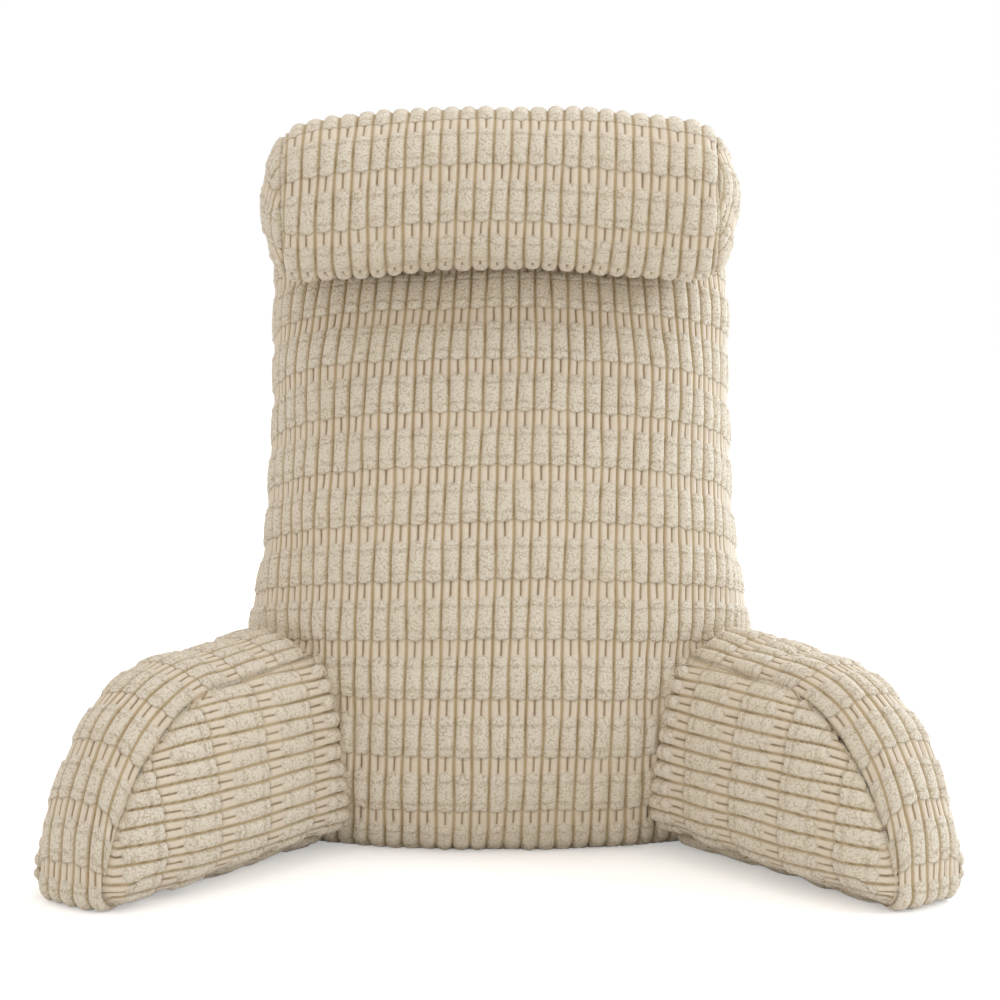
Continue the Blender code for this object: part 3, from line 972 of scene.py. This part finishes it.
def build_roll_end(name, side, seed):
    """The domed disc at one end of the neck roll."""
    seam_radius = ROLL_END_SECTIONS[-1][0]
    radii = np.linspace(seam_radius, DISC_HOLE, DISC_RINGS)[:, None]
    around = np.linspace(0.0, 2.0 * math.pi, DISC_COLUMNS + 1)[None, :-1]
    offset = profile(ROLL_END_SECTIONS, radii)
    centre = roll_place(side * ROLL_SEAM, 0.0, 0.0)
    grid = roll_place(side * offset, radii, around)
    grid[..., 2] += centre[2] - roll_place(side * offset, 0.0, 0.0)[..., 2]
    local_y = grid[..., 1] - centre[1]
    local_z = grid[..., 2] - centre[2]
    turn = DISC_TURN if side < 0 else math.pi - DISC_TURN
    rib = (local_y * math.cos(turn) + local_z * math.sin(turn)) / RIB + DISC_RIB_PHASE
    row = (local_y * math.sin(turn) - local_z * math.cos(turn)) / ROW + DISC_ROW_PHASE
    edge = np.broadcast_to(seam_radius - radii, rib.shape)
    normals = grid_normals(grid, wrap_columns=True)
    if np.sum(normals[..., 0]) * side < 0.0:
        normals = -normals
    points, rib, row = covered(grid, normals, rib, row, seam_fade(edge * 1.4),
                               dent(edge, *SEAM_DIP), seed, lump=DISC_LUMP)
    # painted shade along the disc's seam
    weave = weave_stack(rib, row, dent(edge, 1.0, SEAM_SHADE_REACH))
    cover = Cover()
    index = cover.sheet(keep_off_back(points), weave, wrap_columns=True)
    cover.polygon(index[-1], weave[-1])
    cover.polygon(index[0][::-1], weave[0][::-1])
    return cover.build(name)


# ---- material

def linear(red, green, blue):
    """An sRGB colour of 0 to 255 as linear values."""
    values = [c / 255.0 for c in (red, green, blue)]
    return tuple(v / 12.92 if v <= 0.04045 else ((v + 0.055) / 1.055) ** 2.4 for v in values) + (1.0,)


COLOUR = {
    "pile": linear(234, 225, 209),
    "pile_shade": linear(219, 206, 184),
    # painted shade in the creases, also used in the cracks between tufts
    "shaded_crease": linear(188, 169, 138),
    "split": linear(229, 216, 197),
    "split_shade": linear(221, 207, 186),
    # painted shadow under each block's lower end
    "end_shadow_line": linear(184, 162, 127),
    # painted shade in the grooves between ribs, darker in the furrow at their middle
    "shaded_groove": linear(196, 174, 134),
    "shaded_furrow": linear(164, 140, 99),
    # painted shade in the slit between the split stretch's two halves
    "shaded_slit": linear(158, 131, 94),
    # painted shade along seams and junctions and near the floor
    "seam_shade": linear(194, 175, 142),
    "warm": linear(214, 196, 166),
}
STRENGTH = {            # how strongly each painted shade, and the warm tone, is painted over the cloth
    "shaded_crack": 0.68,
    "shaded_crease": 0.42,
    "end_shadow_line": 0.45,
    "shaded_groove": 0.92,
    "shaded_furrow": 0.60,
    "shaded_slit": 0.85,
    "seam_shade": 0.30,
    "warm": 0.14,
}
BUMP_STRENGTH = 0.75
BUMP_DISTANCE = 0.0016
SHEEN = 0.28


def plush(name):
    """Ribbed cream plush, painted from the weave coordinates, with painted shade in grooves, slits,
    creases and pile cracks, under block ends and at seams.
    """
    material = bpy.data.materials.new(name)
    material.use_nodes = True
    tree = material.node_tree
    tree.nodes.clear()
    links = tree.links

    def node(kind, **settings):
        made = tree.nodes.new(kind)
        for key, value in settings.items():
            setattr(made, key, value)
        return made

    def put(socket, value):
        if isinstance(value, bpy.types.NodeSocket):
            links.new(value, socket)
        else:
            socket.default_value = value

    def maths(operation, *values):
        made = node("ShaderNodeMath", operation=operation)
        for socket, value in zip(made.inputs, values):
            put(socket, value)
        return made.outputs[0]

    times, minus, plus = (functools.partial(maths, kind) for kind in ("MULTIPLY", "SUBTRACT", "ADD"))

    def ramp(value, low, high, first=0.0, last=1.0):
        made = node("ShaderNodeMapRange", interpolation_type="SMOOTHSTEP", clamp=True)
        for socket, number in zip(made.inputs, (value, low, high, first, last)):
            put(socket, number)
        return made.outputs[0]

    def blend(share, first, second):
        made = node("ShaderNodeMix", data_type="RGBA", blend_type="MIX")
        put(made.inputs["Factor"], share)
        put(made.inputs["A"], first)
        put(made.inputs["B"], second)
        return made.outputs["Result"]

    def noise(vector, **values):
        made = node("ShaderNodeTexNoise", noise_dimensions="3D")
        links.new(vector, made.inputs["Vector"])
        for key, value in values.items():
            made.inputs[key].default_value = value
        return made

    weave = node("ShaderNodeAttribute", attribute_name="weave", attribute_type="GEOMETRY")
    parts = node("ShaderNodeSeparateXYZ")
    links.new(weave.outputs["Vector"], parts.inputs[0])
    # the third value is closeness to a seam, which sets the painted shade near seams
    rib, row, seam_shade = parts.outputs

    # the pile, in cloth coordinates of true length
    cloth = node("ShaderNodeCombineXYZ")
    put(cloth.inputs[0], times(rib, RIB))
    put(cloth.inputs[1], times(row, ROW))
    fuzz = noise(cloth.outputs[0], Scale=620.0, Detail=2.5, Roughness=0.6).outputs["Fac"]
    tufts = noise(cloth.outputs[0], Scale=270.0, Detail=3.0, Roughness=0.55, Distortion=0.6)
    broken = noise(cloth.outputs[0], Scale=110.0, Detail=1.0).outputs["Fac"]
    warped = node("ShaderNodeVectorMath", operation="MULTIPLY_ADD")
    links.new(tufts.outputs["Color"], warped.inputs[0])
    warped.inputs[1].default_value = (0.0022, 0.0022, 0.0)
    links.new(cloth.outputs[0], warped.inputs[2])
    crumbs = node("ShaderNodeTexVoronoi", voronoi_dimensions="2D", feature="F1")
    links.new(warped.outputs[0], crumbs.inputs["Vector"])
    crumbs.inputs["Scale"].default_value = 430.0
    crumb = crumbs.outputs["Distance"]
    tuft = tufts.outputs["Fac"]

    # x is 0 in the middle of a rib and 1 in a groove; t runs from 0 to 1 along a row
    x = times(maths("ABSOLUTE", minus(maths("FRACT", rib), 0.5)), 2.0)
    t = maths("FRACT", row)
    ragged = times(minus(tuft, 0.5), 0.16)
    x_rough = plus(x, ragged)
    t_rough = plus(t, times(ragged, 0.20))
    t_ragged = plus(t, times(ragged, 0.50))

    # where the block is: both its ends are curved
    x_squared = times(x, x)
    lower_end = minus(BLOCK, times(x_squared, 0.050))
    upper_end = times(x_squared, 0.085)
    below_top = minus(t_rough, upper_end)
    above_bottom = minus(lower_end, t_rough)
    on_block = times(ramp(below_top, -0.008, 0.012), ramp(above_bottom, -0.008, 0.012))

    # the lines of painted shade: under block ends, in slits, grooves and creases, and in the pile's
    # cracks
    # painted shadow just below each block's lower end
    past_bottom = minus(t_rough, lower_end)
    end_shadow_line = times(ramp(past_bottom, -0.008, 0.012),
                     ramp(past_bottom, 0.020, 0.055, 1.0, 0.0))
    # painted shade in the slit below each block
    shaded_slit = times(ramp(x, 0.045, 0.16, 1.0, 0.0), ramp(past_bottom, -0.004, 0.012))
    shaded_slit = times(shaded_slit, ramp(minus(1.0, t_rough), 0.006, 0.018))
    # the grooves' painted shade is weaker near seams
    open_cloth = ramp(seam_shade, 0.15, 0.75, 1.0, 0.7)
    # painted shade in the grooves, darkest in the furrow at their middle
    shaded_groove = times(ramp(x_rough, 0.71, 0.95), open_cloth)
    shaded_furrow = times(ramp(x_rough, 0.85, 1.00), open_cloth)
    # painted shade in the two creases across each block
    crease_gaps = []
    for bend, place in ((minus, 0.235), (plus, 0.765)):
        line = bend(BLOCK * place, times(x_squared, 0.030))
        crease_gaps.append(maths("ABSOLUTE", minus(t_ragged, line)))
    shaded_crease = times(ramp(maths("MINIMUM", *crease_gaps), 0.0, 0.042, 1.0, 0.0),
                   ramp(broken, 0.36, 0.56, 0.35, 1.0))
    # painted shade in the cracks between the pile's tufts
    shaded_crack = times(ramp(crumb, 0.34, 0.66), ramp(broken, 0.32, 0.62, 0.35, 1.0))

    # colours
    place = node("ShaderNodeTexCoord")
    drift = noise(place.outputs["Object"], Scale=9.0, Detail=2.0).outputs["Fac"]
    pile = blend(ramp(fuzz, 0.36, 0.56, 0.45, 1.0), COLOUR["pile_shade"], COLOUR["pile"])
    # painted shade in the cracks between tufts
    pile = blend(times(shaded_crack, STRENGTH["shaded_crack"]), pile, COLOUR["shaded_crease"])
    # painted shade in the creases
    pile = blend(times(shaded_crease, STRENGTH["shaded_crease"]), pile, COLOUR["shaded_crease"])
    flat = blend(ramp(tuft, 0.3, 0.7), COLOUR["split_shade"], COLOUR["split"])
    colour = blend(on_block, flat, pile)
    # painted shadow under block ends and painted shade in grooves, furrows, slits and at seams, laid over
    # the cloth
    for line, key in ((end_shadow_line, "end_shadow_line"), (shaded_groove, "shaded_groove"), (shaded_furrow, "shaded_furrow"),
                      (shaded_slit, "shaded_slit"), (ramp(seam_shade, 0.25, 1.0), "seam_shade")):
        colour = blend(times(line, STRENGTH[key]), colour, COLOUR[key])
    colour = blend(ramp(drift, 0.35, 0.65, 0.0, STRENGTH["warm"]), colour, COLOUR["warm"])

    # relief: the pile's tufts, and fine lines too narrow for the mesh
    relief = plus(times(crumb, -0.65), times(fuzz, 0.35))
    relief = plus(relief, times(tuft, 0.8))
    smooth = times(minus(1.0, on_block), times(fuzz, 0.20))
    relief = plus(times(on_block, relief), smooth)
    for line, depth in ((shaded_slit, 0.6), (end_shadow_line, 0.6), (shaded_crease, 0.70), (shaded_groove, 0.8)):
        relief = minus(relief, times(line, depth))
    relief = plus(relief, times(on_block, 0.5))
    bump = node("ShaderNodeBump")
    bump.inputs["Strength"].default_value = BUMP_STRENGTH
    bump.inputs["Distance"].default_value = BUMP_DISTANCE
    links.new(relief, bump.inputs["Height"])

    shader = node("ShaderNodeBsdfPrincipled")
    links.new(colour, shader.inputs["Base Color"])
    links.new(ramp(fuzz, 0.3, 0.7, 0.82, 0.98), shader.inputs["Roughness"])
    links.new(bump.outputs["Normal"], shader.inputs["Normal"])
    shader.inputs["Specular IOR Level"].default_value = 0.15
    shader.inputs["Sheen Weight"].default_value = SHEEN
    shader.inputs["Sheen Roughness"].default_value = 0.55
    shader.inputs["Sheen Tint"].default_value = (1.0, 0.97, 0.92, 1.0)
    output = node("ShaderNodeOutputMaterial")
    links.new(shader.outputs[0], output.inputs["Surface"])
    return material


# ---- assembly

material = plush("cream_plush")
pieces = {}
junctions = []
SIDES = ((-1.0, "left"), (1.0, "right"))
for side, label in SIDES:
    pieces[f"arm_{label}"], touch = build_band(f"arm_{label}_band", side, 3.0 + side)
    junctions += touch
    for outer, word in ((False, "inner"), (True, "outer")):
        panel, touch = build_side_panel(f"arm_{label}_{word}_side", side, outer, 6.0 + side + outer)
        pieces[f"arm_{label}_{word}_panel"] = panel
        junctions += touch
pieces["backrest"] = build_backrest("backrest_cover", filled_in(junctions), 1.0)
pieces["neck_roll"] = build_roll("neck_roll_cover", 11.0)
for side, label in SIDES:
    pieces[f"neck_roll_end_{label}"] = build_roll_end(f"neck_roll_{label}_disc", side, 13.0 + side)

for node_name, piece in pieces.items():
    piece.data.materials.append(material)
    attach(piece, "root")
    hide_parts(node_name)

# ---- studio

FLOOR_REACH = 6.0
FLOOR_DROP = 0.0005
FLOOR_GLOW = 0.36       # lifts the floor to white for the camera only
ROOM_STRENGTH = 0.84
ROOM_TINT = (1.0, 0.965, 0.93, 1.0)
WHITE = (1.0, 1.0, 1.0, 1.0)
COOL = (0.84, 0.96, 1.10)
LIGHTS = [              # name, place, target, size, power, colour
    ("key", (2.5, -0.5, 1.5), (0.0, 0.0, 0.3), 1.2, 13.0, COOL),
    ("rim", (2.0, 1.8, 1.3), (0.2, 0.0, 0.3), 1.0, 42.0, COOL),
    ("top", (0.2, 0.2, 3.0), (0.0, 0.0, 0.3), 1.8, 12.0, (0.98, 0.99, 1.0)),
]
CAMERA_LENS = 101.2
CAMERA_DISTANCE = 2.55  # in front of the tables' origin
CAMERA_HEIGHT = 0.66
CAMERA_DOWN = math.radians(7.4)


def link_new(name, data):
    """A new object in the scene."""
    item = bpy.data.objects.new(name, data)
    bpy.context.scene.collection.objects.link(item)
    return item


floor_mesh = bpy.data.meshes.new("floor")
floor_corners = [(x * FLOOR_REACH, y * FLOOR_REACH, 0.0) for x, y in ((-1, -1), (1, -1), (1, 1), (-1, 1))]
floor_mesh.from_pydata(floor_corners, [], [(0, 1, 2, 3)])
floor = link_new("floor", floor_mesh)
floor.location.z = -FLOOR_DROP
floor_material = bpy.data.materials.new("pale_floor")
floor_material.use_nodes = True
floor_tree = floor_material.node_tree
floor_shader = floor_tree.nodes["Principled BSDF"]
floor_shader.inputs["Base Color"].default_value = (0.93, 0.93, 0.92, 1.0)
floor_shader.inputs["Roughness"].default_value = 0.9
floor_shader.inputs["Emission Color"].default_value = WHITE
floor_seen = floor_tree.nodes.new("ShaderNodeLightPath")
floor_glow = floor_tree.nodes.new("ShaderNodeMath")
floor_glow.operation = "MULTIPLY"
floor_glow.inputs[1].default_value = FLOOR_GLOW
floor_tree.links.new(floor_seen.outputs["Is Camera Ray"], floor_glow.inputs[0])
floor_tree.links.new(floor_glow.outputs[0], floor_shader.inputs["Emission Strength"])
floor_mesh.materials.append(floor_material)

# the room lights the part, and the camera sees white behind it
world = bpy.data.worlds.new("studio")
bpy.context.scene.world = world
world.use_nodes = True
world_nodes = world.node_tree.nodes
world_links = world.node_tree.links
room = world_nodes["Background"]
room.inputs["Color"].default_value = ROOM_TINT
room.inputs["Strength"].default_value = ROOM_STRENGTH
backdrop = world_nodes.new("ShaderNodeBackground")
backdrop.inputs["Color"].default_value = WHITE
backdrop.inputs["Strength"].default_value = 1.0
seen = world_nodes.new("ShaderNodeLightPath")
either = world_nodes.new("ShaderNodeMixShader")
world_links.new(seen.outputs["Is Camera Ray"], either.inputs[0])
world_links.new(room.outputs[0], either.inputs[1])
world_links.new(backdrop.outputs[0], either.inputs[2])
world_links.new(either.outputs[0], world_nodes["World Output"].inputs["Surface"])

for light_name, place, target, size, power, colour in LIGHTS:
    light = bpy.data.lights.new(light_name, "AREA")
    light.shape = "SQUARE"
    light.size = size
    light.energy = power
    light.color = colour
    lamp = link_new(light_name, light)
    lamp.location = place
    lamp.rotation_euler = (Vector(target) - Vector(place)).to_track_quat("-Z", "Y").to_euler()

camera_data = bpy.data.cameras.new("camera")
camera_data.sensor_width = 36.0
camera_data.lens = CAMERA_LENS
camera_data.clip_end = 50.0
camera = link_new("camera", camera_data)
camera.location = (0.0, SHIFT_Y - CAMERA_DISTANCE, CAMERA_HEIGHT)
camera.rotation_euler = (math.radians(90.0) - CAMERA_DOWN, 0.0, 0.0)
bpy.context.scene.camera = camera
bpy.context.scene.view_settings.view_transform = "Standard"
